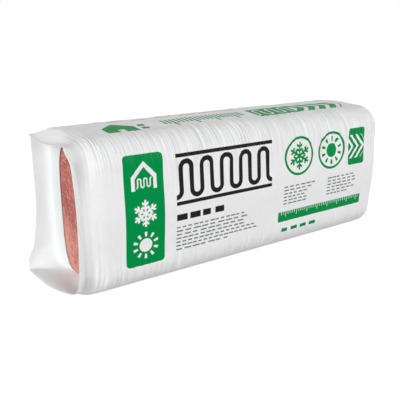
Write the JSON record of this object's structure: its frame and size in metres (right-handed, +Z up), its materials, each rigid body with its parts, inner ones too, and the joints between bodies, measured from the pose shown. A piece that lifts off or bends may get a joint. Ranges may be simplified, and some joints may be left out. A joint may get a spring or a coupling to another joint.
{
  "type": "bag of fiberglass insulation batts",
  "caption": "Compressed folded fiberglass batts in a printed film sleeve that lies on its long side, its mouth turned in round a tall opening that shows the cut wool.",
  "frame": {"origin": "on the floor, under the middle of the bag's box", "axes": "+X along the bag from its open mouth to its closed end, +Y from the printed front to the back, +Z up from the floor"},
  "size_m": [1.3172, 0.394, 0.4894],
  "materials": {
    "film": "white polyethylene film with a satin sheen, printed in green, black and grey",
    "wool": "matt pink glass wool with short loose fibres"
  },
  "bodies": {
    "root": {"film_bag": "film", "batts": "wool"}
  },
  "joints": []
}
